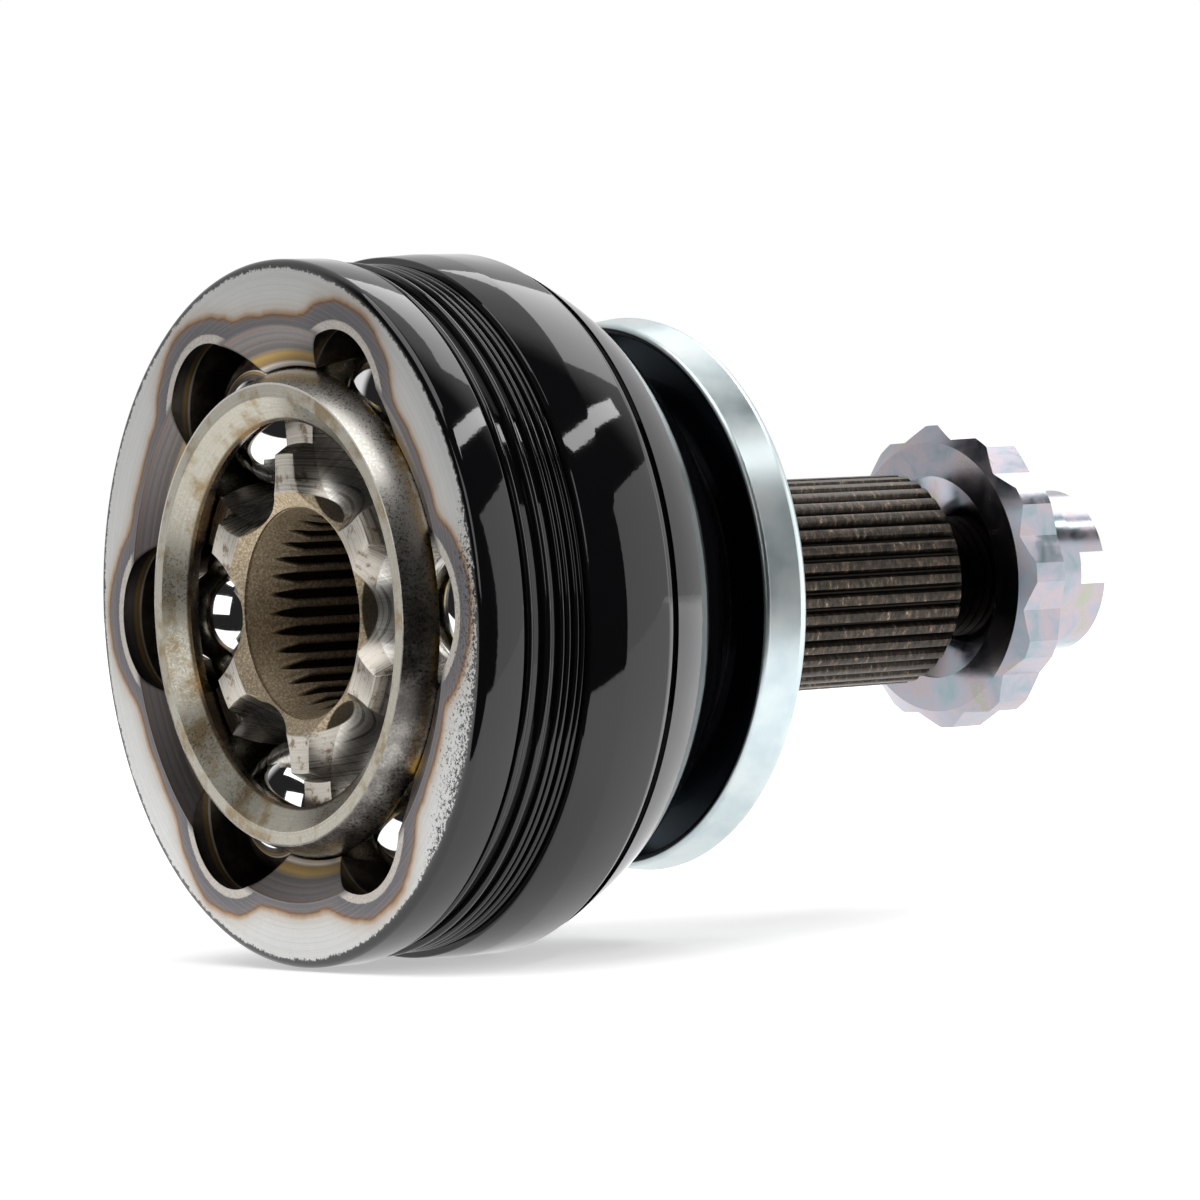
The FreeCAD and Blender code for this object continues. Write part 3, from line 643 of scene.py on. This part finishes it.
# %% The finish maker
class Finish:
    """A material in the making: its shader, its coordinates in millimetres and short names for nodes."""

    def __init__(self, name, **sockets):
        self.material = bpy.data.materials.new(name)
        self.material.use_nodes = True
        self.tree = self.material.node_tree
        self.shader = self.tree.nodes["Principled BSDF"]
        for socket, value in sockets.items():
            self.shader.inputs[socket.replace("_", " ")].default_value = value
        where = self.node("TexCoord").outputs["Object"]
        self.place = self.node("VectorMath", [where], operation="SCALE", Scale=1 / MM).outputs[0]
        apart = self.node("SeparateXYZ", [self.place])
        self.x, self.y, self.z = apart.outputs
        self.r = self.distance(self.y, self.z)
        self.turn = self.math("ARCTAN2", self.z, self.y)

    def node(self, kind, inputs=(), **values):
        """Add a node, wire or fill its first inputs, and set its properties or named inputs."""
        made = self.tree.nodes.new("ShaderNode" + kind)
        for key, value in values.items():
            if hasattr(made, key):
                setattr(made, key, value)
            else:
                made.inputs[key.replace("_", " ")].default_value = value
        for socket, value in zip(made.inputs, inputs):
            self.feed(socket, value)
        return made

    def feed(self, socket, value):
        """Wire an output into a socket, or set the socket to a plain value."""
        if isinstance(value, bpy.types.NodeSocket):
            self.tree.links.new(value, socket)
        else:
            socket.default_value = value

    def set(self, **sockets):
        """Wire or fill sockets of the shader."""
        for socket, value in sockets.items():
            self.feed(self.shader.inputs[socket.replace("_", " ")], value)

    def math(self, operation, *values):
        """One step of arithmetic."""
        return self.node("Math", values, operation=operation).outputs[0]

    def distance(self, first, second):
        """Distance reached by two steps at right angles."""
        return self.math("SQRT", self.math("ADD", self.math("MULTIPLY", first, first),
                                           self.math("MULTIPLY", second, second)))

    def sway(self, noise, amount):
        """Shift to both sides by a noise, over an amount in all."""
        return self.math("MULTIPLY", self.math("SUBTRACT", noise, 0.5), amount)

    def level(self, value, low, high, to_low=0.0, to_high=1.0):
        """Smooth step of a value from one range to another."""
        return self.node("MapRange", [value, low, high, to_low, to_high],
                         interpolation_type="SMOOTHSTEP").outputs[0]

    def mix(self, share, first, second):
        """Blend of two colours or values by a share."""
        made = self.node("Mix", data_type="RGBA")
        self.feed(made.inputs[0], share)
        self.feed(made.inputs[6], first)
        self.feed(made.inputs[7], second)
        return made.outputs[2]

    def ramp(self, value, *stops):
        """Colour ramp from (position, colour) stops."""
        made = self.node("ValToRGB", [value])
        ramp = made.color_ramp
        while len(ramp.elements) < len(stops):
            ramp.elements.new(0.5)
        for element, (position, colour) in zip(ramp.elements, stops):
            element.position = position
            element.color = colour
        return made.outputs[0]

    def noise(self, size, detail=4.0, rough=0.55, stretch=(1, 1, 1), warp=0.0):
        """Noise whose grains are about size millimetres across, stretched by a factor along each axis."""
        spread = self.node("VectorMath", [self.place, [1 / (size * s) for s in stretch]],
                           operation="MULTIPLY")
        return self.node("TexNoise", [spread.outputs[0]], Scale=1.0, Detail=detail, Roughness=rough,
                         Distortion=warp).outputs[0]

    def lines(self, along, size, detail=3.0, rough=0.7):
        """Fine lines that a lathe leaves: noise that changes only along one measure, in millimetres."""
        made = self.node("TexNoise", noise_dimensions="1D", Scale=1.0 / size, Detail=detail, Roughness=rough)
        self.feed(made.inputs["W"], along)
        return made.outputs[0]

    def bump(self, height, depth, strength):
        """Let a height in millimetres tilt the surface."""
        made = self.node("Bump", Strength=strength, Distance=depth * MM)
        self.feed(made.inputs["Height"], height)
        self.set(Normal=made.outputs[0])

    def cover(self, *pieces):
        """Give the finish to pieces, in place of what they had."""
        for piece in pieces:
            piece.data.materials.clear()
            piece.data.materials.append(self.material)


def grey(level, warm=0.0):
    """A grey, a little warm or cool."""
    return (level * (1 + warm), level, level * (1 - warm), 1)


# %% [markdown]
# ## Bell finish
# The outside has thick gloss black paint.  The mouth was faced on a lathe after hardening, so it is bare.
# Hardening left temper colours: a fringe of brown and violet follows the outline of the tracks and the
# chamfer.  The outline is folded six times round the axis, so one lobe describes them all.

# %% Outline of the mouth
LOBE_CENTRE = 28.0
LOBE_RADIUS = 9.68
FRINGE_INSET = 1.9
FRINGE_SOFTNESS = 1.6

paint = Finish("bell_paint_and_steel", Metallic=0.0)
sixth = math.pi / 3
wrapped = paint.math("FLOORED_MODULO", paint.math("ADD", paint.turn, sixth / 2), sixth)
folded = paint.math("SUBTRACT", wrapped, sixth / 2)
across = paint.math("SUBTRACT", paint.math("MULTIPLY", paint.r, paint.math("COSINE", folded)), LOBE_CENTRE)
sideways = paint.math("MULTIPLY", paint.r, paint.math("SINE", folded))
lobe = paint.math("SUBTRACT", paint.distance(across, sideways), LOBE_RADIUS)
from_circle = paint.math("SUBTRACT", paint.r, MOUTH_CHAMFER - FRINGE_INSET)
outline = paint.math("SMOOTH_MIN", lobe, from_circle, FRINGE_SOFTNESS)
print("outline of the mouth:", len(paint.tree.nodes), "nodes")

# %% [markdown]
# Away from the outline the face goes from dark grey through violet, brown and straw to clean steel, and the
# turning marks run round it.  A sandy band lies along the edge of each track.

# %% Colours of the face
FRINGE_WIDTH = 6.0
FRINGE_SWAY = 1.9
SAND_SWAY = 0.7
wander = paint.noise(8.0, detail=3)
speck = paint.noise(0.25, detail=5, rough=0.7)
tint_place = paint.math("ADD", outline, paint.sway(wander, FRINGE_SWAY))
tint = paint.ramp(
    paint.math("DIVIDE", tint_place, FRINGE_WIDTH),
    (0.0, (0.10, 0.092, 0.095, 1)), (0.36, (0.125, 0.118, 0.128, 1)), (0.47, (0.15, 0.13, 0.13, 1)),
    (0.52, (0.17, 0.085, 0.04, 1)), (0.57, (0.34, 0.23, 0.14, 1)), (0.66, (0.48, 0.44, 0.40, 1)),
    (0.80, (0.53, 0.52, 0.50, 1)), (1.0, (0.55, 0.55, 0.54, 1)))
sandy_edge = paint.math("ADD", lobe, paint.sway(speck, SAND_SWAY))
sandy = paint.math("MULTIPLY", paint.level(sandy_edge, 1.15, 0.95),
                   paint.level(paint.math("SUBTRACT", paint.r, MOUTH_CHAMFER), -0.1, 0.9))
tint = paint.mix(sandy, tint, paint.ramp(speck, (0.3, (0.30, 0.27, 0.24, 1)), (0.7, (0.62, 0.58, 0.53, 1))))
face_lines = paint.lines(paint.r, 0.22)
face_colour = paint.mix(paint.level(face_lines, 0.42, 0.75, 0.0, 0.30), tint, grey(0.30, 0.04))
print("with the face:", len(paint.tree.nodes), "nodes")

# %% [markdown]
# Inside, the cavity keeps its dark heat scale with brown blotches.  The chamfer at the mouth is turned, with
# a straw band and a painted highlight, a bright line at its inner edge, and the tracks cut through it.

# %% Colours of the inside
inside_colour = paint.ramp(
    paint.noise(5.0, detail=6, rough=0.65),
    (0.30, (0.016, 0.012, 0.009, 1)), (0.50, (0.045, 0.036, 0.028, 1)), (0.72, (0.12, 0.10, 0.075, 1)))
# The chamfer's colour runs from the mouth inward: temper colours, then pale stops near the inner edge that
# are a painted highlight line.
cone_tint_and_highlight = paint.ramp(
    paint.math("DIVIDE", paint.math("SUBTRACT", paint.x, MOUTH), GUIDE_EDGE - MOUTH),
    (0.0, (0.20, 0.13, 0.08, 1)), (0.10, (0.12, 0.11, 0.115, 1)), (0.55, (0.10, 0.09, 0.085, 1)),
    (0.68, (0.34, 0.22, 0.06, 1)), (0.84, (0.26, 0.17, 0.06, 1)), (0.90, (0.62, 0.58, 0.55, 1)),
    (0.97, (0.62, 0.58, 0.55, 1)), (1.0, (0.06, 0.05, 0.04, 1)))
cone_lines = paint.lines(paint.x, 0.35)
cone_tint_and_highlight = paint.mix(paint.level(cone_lines, 0.4, 0.7, 0.0, 0.35), cone_tint_and_highlight, (0.22, 0.19, 0.16, 1))
in_cone = paint.math("MULTIPLY", paint.level(paint.x, MOUTH + 0.02, MOUTH + 0.12),
                     paint.level(paint.x, GUIDE_EDGE + 0.05, GUIDE_EDGE - 0.05))
on_cone = paint.math("MULTIPLY", in_cone, paint.level(lobe, -0.1, 0.4))
on_face = paint.level(paint.x, MOUTH + 0.10, MOUTH + 0.02)
steel_colour = paint.mix(on_cone, inside_colour, cone_tint_and_highlight)
steel_colour = paint.mix(on_face, steel_colour, face_colour)
print("with the inside:", len(paint.tree.nodes), "nodes")

# %% [markdown]
# The paint was sprayed with the mouth covered.  It covers all that lies beyond a certain distance from the
# centre of the tracks, ends at the rim in a ragged edge, and on one side a dust of spray reached the face.

# %% Edge of the paint
RIM_PAINT = 42.0
PAINT_REACH = 40.4
SPRAY_REACH = 6.5

from_track_centre = paint.math("ADD", paint.x, TRACK_OFFSET)
reach = paint.distance(from_track_centre, paint.r)
edge_wander = paint.sway(paint.noise(0.9, detail=6, rough=0.75), 1.6)
dust = paint.level(paint.noise(0.5, detail=6, rough=0.8), 0.46, 0.66, 0.0, SPRAY_REACH)
dusty_part = paint.math("MAXIMUM", paint.level(paint.turn, -2.2, -2.7), paint.level(paint.turn, 2.75, 3.1))
overspray = paint.math("MULTIPLY", dust, dusty_part)
rim_place = paint.math("ADD", paint.math("ADD", paint.r, edge_wander), overspray)
rim_paint = paint.level(rim_place, RIM_PAINT, RIM_PAINT + 0.3)
painted = paint.mix(on_face, paint.level(reach, PAINT_REACH, PAINT_REACH + 0.2), rim_paint)
painted = paint.math("MULTIPLY", painted, paint.level(paint.x, SHOULDER_START + 0.9, SHOULDER_START + 0.7))
paint.set(
    Base_Color=paint.mix(painted, steel_colour, (0.003, 0.003, 0.0035, 1)),
    Metallic=paint.math("SUBTRACT", 1.0, painted),
    Roughness=paint.mix(painted, paint.level(speck, 0.3, 0.7, 0.30, 0.46), grey(0.05)))
skin = paint.noise(1.6, detail=2)
relief_height = paint.mix(painted, face_lines, skin)
paint.bump(relief_height, 0.02, 0.35)
paint.cover(bell)
print("bell finish:", len(paint.tree.nodes), "nodes")

# %% [markdown]
# ## Steel finishes
# Ground, turned and rolled steel differ in how fine their lines are and in how dark the heat has left them.
# Each one mixes a base grey with lines, blotches and grime.  The stub and the race also get painted shade in
# their recesses, and the cage a painted light toward its top.

# %% Stub finish
rolled = Finish("rolled_spline_steel", Metallic=1.0)
# Below the spline tips the colour is near black: painted shade in the roots between the teeth, and the whole
# thread, which lies inside that radius, gets it too.
crest_not_shaded = rolled.level(rolled.r, 12.9, 13.75)
rolled_marks = rolled.noise(1.3, detail=7, rough=0.78, stretch=(0.5, 1.2, 1.2))
rolled.set(
    Base_Color=rolled.mix(
        crest_not_shaded, (0.016, 0.014, 0.012, 1),
        rolled.ramp(rolled_marks, (0.34, (0.020, 0.018, 0.016, 1)), (0.50, (0.050, 0.044, 0.038, 1)),
                    (0.60, (0.12, 0.088, 0.064, 1)), (0.68, (0.40, 0.35, 0.29, 1)))),
    Roughness=rolled.level(rolled_marks, 0.3, 0.7, 0.30, 0.48))
rolled.bump(rolled_marks, 0.04, 0.5)
rolled.cover(stub, thread)
print("stub finish:", len(rolled.tree.nodes), "nodes")

# %% [markdown]
# The cage is ground on its outside, turned on its rim, and dark with heat scale in its bore.  Smoky grey and
# gold blotches lie over the ground steel, and the ground outside is painted lighter toward the top and darker
# toward the bottom as painted light and shade.

# %% Cage finish
ground = Finish("ground_cage_steel", Metallic=1.0)
ground_lines = ground.lines(ground.r, 0.22)
blotch = ground.noise(5.0, detail=6, rough=0.6)
smoke = ground.noise(0.35, detail=6, rough=0.75)
from_centre = ground.distance(ground.x, ground.r)
on_outside = ground.level(from_centre, CAGE_RADIUS - 0.3, CAGE_RADIUS - 0.1)
on_bore = ground.level(from_centre, CAGE_BORE + 0.7, CAGE_BORE + 0.3)
rim_colour = ground.mix(ground_lines, (0.29, 0.27, 0.225, 1), (0.46, 0.44, 0.375, 1))
rim_colour = ground.mix(ground.level(blotch, 0.46, 0.64, 0.0, 0.85), rim_colour, (0.22, 0.155, 0.075, 1))
smoke_level = ground.math("ADD", ground.math("MULTIPLY", smoke, 0.35), ground.math("MULTIPLY", blotch, 0.5))
# Painted light: the height term makes the ground outside lighter toward the top and darker toward the bottom.
smoke_and_painted_light = ground.ramp(
    ground.math("ADD", smoke_level, ground.level(ground.z, -12, 20, 0.03, 0.24)),
    (0.40, (0.10, 0.092, 0.085, 1)), (0.50, (0.28, 0.265, 0.245, 1)), (0.60, (0.56, 0.54, 0.50, 1)))
gold = ground.math("MULTIPLY", ground.level(ground.x, -11.0, -9.9), ground.level(blotch, 0.46, 0.56))
smoke_and_painted_light = ground.mix(gold, smoke_and_painted_light, (0.40, 0.26, 0.06, 1))
dark_bore = ground.ramp(blotch, (0.35, (0.030, 0.020, 0.012, 1)), (0.55, (0.085, 0.060, 0.036, 1)),
                        (0.70, (0.22, 0.13, 0.05, 1)))
ground.set(
    Base_Color=ground.mix(on_bore, ground.mix(on_outside, rim_colour, smoke_and_painted_light), dark_bore),
    Roughness=ground.level(smoke, 0.3, 0.7, 0.22, 0.42))
ground.bump(ground_lines, 0.006, 0.4)
ground.cover(cage)
print("cage finish:", len(ground.tree.nodes), "nodes")

# %% [markdown]
# The race's front is turned and stained, its tracks are bright with lines along them, and its lands are
# painted dark brown as painted shade.  In the bore the tips of the splines are bright and rusty, and the gaps
# between them are painted near black as painted shade.  The gaps are what lies outside the lead-in cone, so
# the cone's line is worked out from the sizes of the bore.

# %% Race finish
machined = Finish("machined_race_steel", Metallic=1.0)
machined_lines = machined.lines(machined.r, 0.3)
in_bore = machined.level(machined.r, BORE_MOUTH + 0.05, BORE_MOUTH - 0.1)
stain = machined.noise(2.2, detail=7, rough=0.7)
grain = machined.noise(0.30, detail=6, rough=0.8)
# The lands of the race get a dark brown as painted shade.
shaded_land = machined.level(machined.distance(machined.x, machined.r), RACE_RADIUS - 0.25, RACE_RADIUS - 0.1)
front_face = machined.mix(
    machined.level(machined_lines, 0.35, 0.65), (0.36, 0.33, 0.285, 1), (0.50, 0.47, 0.42, 1))
front_face = machined.mix(machined.level(stain, 0.52, 0.64), front_face, (0.17, 0.125, 0.08, 1))
brushed = machined.lines(machined.turn, 0.02)
groove_colour = machined.mix(
    machined.level(brushed, 0.35, 0.65), (0.55, 0.525, 0.49, 1), (0.70, 0.68, 0.64, 1))
behind_front = machined.level(machined.x, LAND_FRONT + 0.05, LAND_FRONT + 0.2)
front_face = machined.mix(behind_front, front_face, groove_colour)
bore_colour = machined.ramp(grain, (0.32, (0.17, 0.125, 0.075, 1)), (0.50, (0.42, 0.34, 0.235, 1)),
                            (0.66, (0.78, 0.68, 0.52, 1)))
# The gaps between the spline teeth are painted near black as painted shade.
gap_shade_colour = machined.mix(0.92, bore_colour, (0.012, 0.009, 0.006, 1))
cone_slope = (SHAFT_ROOT - LEAD_IN_RADIUS) / (LEAD_IN_END - LEAD_IN_FOOT)
cone_at_centre = SHAFT_ROOT - cone_slope * LEAD_IN_END
cone_line = machined.math("MULTIPLY_ADD", machined.x, cone_slope, cone_at_centre)
cone_radius = machined.math("MAXIMUM", cone_line, SHAFT_ROOT)
gap_shade = machined.level(machined.math("SUBTRACT", machined.r, cone_radius), 0.06, 0.3)
gap_shade = machined.math("MULTIPLY", gap_shade, machined.level(machined.x, -10.1, -9.9))
bore_colour = machined.mix(gap_shade, bore_colour, gap_shade_colour)
machined.set(
    Base_Color=machined.mix(in_bore, machined.mix(shaded_land, front_face, (0.16, 0.12, 0.08, 1)), bore_colour),
    Roughness=machined.mix(in_bore, machined.level(machined_lines, 0.3, 0.7, 0.24, 0.38), grey(0.55)))
machined.bump(machined_lines, 0.006, 0.4)
machined.cover(race, sleeve)
print("race finish:", len(machined.tree.nodes), "nodes")

# %% [markdown]
# The balls are polished and nearly mirrors, with a faint change of sheen from place to place.

# %% Ball finish
polished = Finish("polished_ball_steel", Metallic=1.0, Base_Color=grey(0.78))
polished.set(Roughness=polished.level(polished.noise(4.0), 0.3, 0.7, 0.03, 0.08))
polished.cover(*[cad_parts["ball_%d" % (i + 1)] for i in range(6)])
print("ball finish:", len(polished.tree.nodes), "nodes")

# %% [markdown]
# The dust shield is zinc-plated sheet, bright and a little blue, and the side that faces the bell is painted
# near black as painted shade.
# The nut's thicker plating shimmers between blue, pink and straw.

# %% Zinc finishes
SHIELD_INSIDE = 34.15
SHIELD_BACK = 40.7

zinc = Finish("bright_zinc_sheet", Metallic=1.0)
zinc_cloud = zinc.noise(7.0, detail=5)
# The inside of the shield, facing the bell, is painted near black as painted shade.
painted_shade_inside = zinc.math("MULTIPLY", zinc.level(zinc.r, SHIELD_INSIDE, SHIELD_INSIDE - 0.2),
                       zinc.level(zinc.x, SHIELD_BACK, SHIELD_BACK - 0.4))
zinc_colour = zinc.ramp(zinc_cloud, (0.3, (0.46, 0.54, 0.57, 1)), (0.55, (0.58, 0.65, 0.66, 1)),
                        (0.75, (0.66, 0.68, 0.67, 1)))
zinc.set(
    Base_Color=zinc.mix(painted_shade_inside, zinc_colour, (0.030, 0.040, 0.050, 1)),
    Roughness=zinc.level(zinc_cloud, 0.3, 0.7, 0.30, 0.38))
zinc.bump(zinc.noise(0.9, detail=1), 0.003, 0.3)
zinc.cover(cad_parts["dust_shield"])

plated = Finish("iridescent_zinc_nut", Metallic=1.0)
plated_cloud = plated.noise(5.0, detail=4, warp=0.6)
plated.set(
    Base_Color=plated.ramp(plated_cloud, (0.30, (0.24, 0.32, 0.34, 1)), (0.45, (0.34, 0.35, 0.40, 1)),
                           (0.58, (0.41, 0.36, 0.39, 1)), (0.72, (0.36, 0.37, 0.31, 1))),
    Roughness=plated.level(plated_cloud, 0.3, 0.7, 0.16, 0.28))
plated_lines = plated.lines(plated.r, 0.4)
plated.bump(plated.math("ADD", plated_lines, plated.noise(0.8, detail=1)), 0.003, 0.3)
plated.cover(nut)
print("zinc finishes:", len(zinc.tree.nodes) + len(plated.tree.nodes), "nodes")

# %% [markdown]
# # Studio
# The joint lies on a white floor that fades into a white background.  Both are white to the camera and in
# reflections, and the floor keeps the soft shadow.  What the gloss paint mirrors decides its looks: in its
# reflections the floor ends a short way in front of the joint, so the paint sees past that edge.

# %% Floor
FLOOR = -BELL_RADIUS - 0.36
FLOOR_GLOW = 0.45
FLOOR_MIRRORED = 0.75
FADE_START = 120
FADE_END = 420
FLOOR_EDGE = 70

start_fresh()
bpy.ops.mesh.primitive_plane_add(size=8, location=(0, 0, FLOOR * MM))
floor = bpy.context.object
floor.name = "studio_floor"
paper = Finish("white_paper", Roughness=0.9)
paper.set(Base_Color=(0.80, 0.80, 0.80, 1), Specular_IOR_Level=0.0)
rays = paper.node("LightPath")
seen = paper.math("MAXIMUM", rays.outputs["Is Camera Ray"],
                  paper.math("MAXIMUM", rays.outputs["Is Glossy Ray"], rays.outputs["Is Transmission Ray"]))
far = paper.distance(paper.x, paper.y)
toward_camera = paper.math("MULTIPLY_ADD", paper.x, -0.58, paper.math("MULTIPLY", paper.y, -0.81))
glow = paper.level(far, FADE_START, FADE_END, FLOOR_GLOW, 1.0)
glow = paper.mix(rays.outputs["Is Glossy Ray"], glow, grey(FLOOR_MIRRORED))
paper.set(Emission_Color=(1, 1, 1, 1), Emission_Strength=paper.math("MULTIPLY", seen, glow))
beyond_edge = paper.math("MULTIPLY", rays.outputs["Is Glossy Ray"],
                         paper.level(toward_camera, FLOOR_EDGE, FLOOR_EDGE + 4))
opening = paper.node("MixShader", [beyond_edge])
paper.tree.links.new(paper.shader.outputs[0], opening.inputs[1])
paper.tree.links.new(paper.node("BsdfTransparent").outputs[0], opening.inputs[2])
paper.tree.links.new(opening.outputs[0], paper.tree.nodes["Material Output"].inputs["Surface"])
paper.cover(floor)
print("floor at", round(FLOOR, 2), "mm")

# %% [markdown]
# The background is plain white to the camera.  In reflections only the half behind the joint is bright, and
# the half around the camera stays dark, as in a dark room with a lit backdrop.

# %% Background
SKY_DIFFUSE = 0.42

world = bpy.data.worlds.new("studio")
bpy.context.scene.world = world
world.use_nodes = True
sky = world.node_tree


def sky_node(kind, inputs=(), **values):
    """Add a node to the background, with its properties and its first inputs."""
    made = sky.nodes.new("ShaderNode" + kind)
    for key, value in values.items():
        setattr(made, key, value)
    for socket, value in zip(made.inputs, inputs):
        if isinstance(value, bpy.types.NodeSocket):
            sky.links.new(value, socket)
        else:
            socket.default_value = value
    return made


heading = sky_node("VectorMath", [sky_node("TexCoord").outputs["Generated"], (0.58, 0.81, 0.0)],
                   operation="DOT_PRODUCT").outputs["Value"]
behind = sky_node("MapRange", [heading, 0.05, 0.35, 0.02, 0.85], interpolation_type="SMOOTHSTEP").outputs[0]
sky_rays = sky_node("LightPath")
sky_glossy = sky_node("Math", [sky_rays.outputs["Is Glossy Ray"], behind], operation="MULTIPLY").outputs[0]
sky_seen = sky_node("Math", [sky_rays.outputs["Is Camera Ray"], sky_rays.outputs["Is Transmission Ray"]],
                    operation="MAXIMUM").outputs[0]
sky_plain = sky_node("Math", [sky_rays.outputs["Is Diffuse Ray"], SKY_DIFFUSE],
                     operation="MULTIPLY").outputs[0]
sky_shown = sky_node("Math", [sky_glossy, sky_seen], operation="ADD").outputs[0]
sky_level = sky_node("Math", [sky_shown, sky_plain], operation="ADD").outputs[0]
sky.links.new(sky_level, sky.nodes["Background"].inputs["Strength"])
sky.nodes["Background"].inputs["Color"].default_value = (1, 1, 1, 1)
print("background:", len(sky.nodes), "nodes")

# %% [markdown]
# Each softbox is placed by what the bell mirrors of it.  The strip overhead gives the bright patch high on
# the bands.  The wall on the right gives the soft grey of their lower half, and it reaches below the floor,
# past whose edge the paint sees.  A panel overhead at the back and two fills light the steel.

# %% Softboxes
def softbox(name, place, aim, size, radiance):
    """A rectangular area lamp at a place in metres, aimed at a point, as bright all over as radiance."""
    facing = (Vector(aim) - Vector(place)).to_track_quat("-Z", "Y")
    start_fresh()
    bpy.ops.object.light_add(type="AREA", location=place, rotation=facing.to_euler())
    lamp = bpy.context.object
    lamp.name = name
    lamp.data.shape = "RECTANGLE"
    lamp.data.size, lamp.data.size_y = size
    lamp.data.energy = radiance * math.pi * size[0] * size[1]
    print(name, round(lamp.data.energy, 2), "W")
    return lamp


def turn_with_camera(*lamps):
    """Turn the lamps about the joint axis as the camera is."""
    bpy.context.view_layer.update()
    for lamp in lamps:
        lamp.matrix_world = STUDIO_TURN @ lamp.matrix_world


def flat_softbox(name, place, size, turn, radiance):
    """A softbox lying overhead, facing straight down, turned about the upright."""
    lamp = softbox(name, place, (place[0], place[1], 0), size, radiance)
    lamp.rotation_euler = (0, 0, math.radians(turn))
    return lamp


turn_with_camera(
    flat_softbox("strip_overhead", (0.706, -0.533, 1.0), (0.9, 0.15), 36.9, 7.0),
    flat_softbox("panel_overhead_back", (1.15, 0.50, 1.0), (0.95, 1.1), 0, 2.2),
    softbox("wall_right", (1.145, -0.715, -0.17), (0.0, 0.0, -0.17), (1.41, 2.0), 1.4),
    flat_softbox("fill_overhead", (-0.35, -0.02, 1.0), (1.0, 0.9), 0, 2.4),
    softbox("fill_left", (-0.95, -0.30, 0.30), (0.0, 0.0, 0.0), (0.5, 0.5), 2.0))

# %% [markdown]
# # Last steps

# %% Finish the scene
scene = bpy.context.scene
scene.view_settings.view_transform = "Standard"
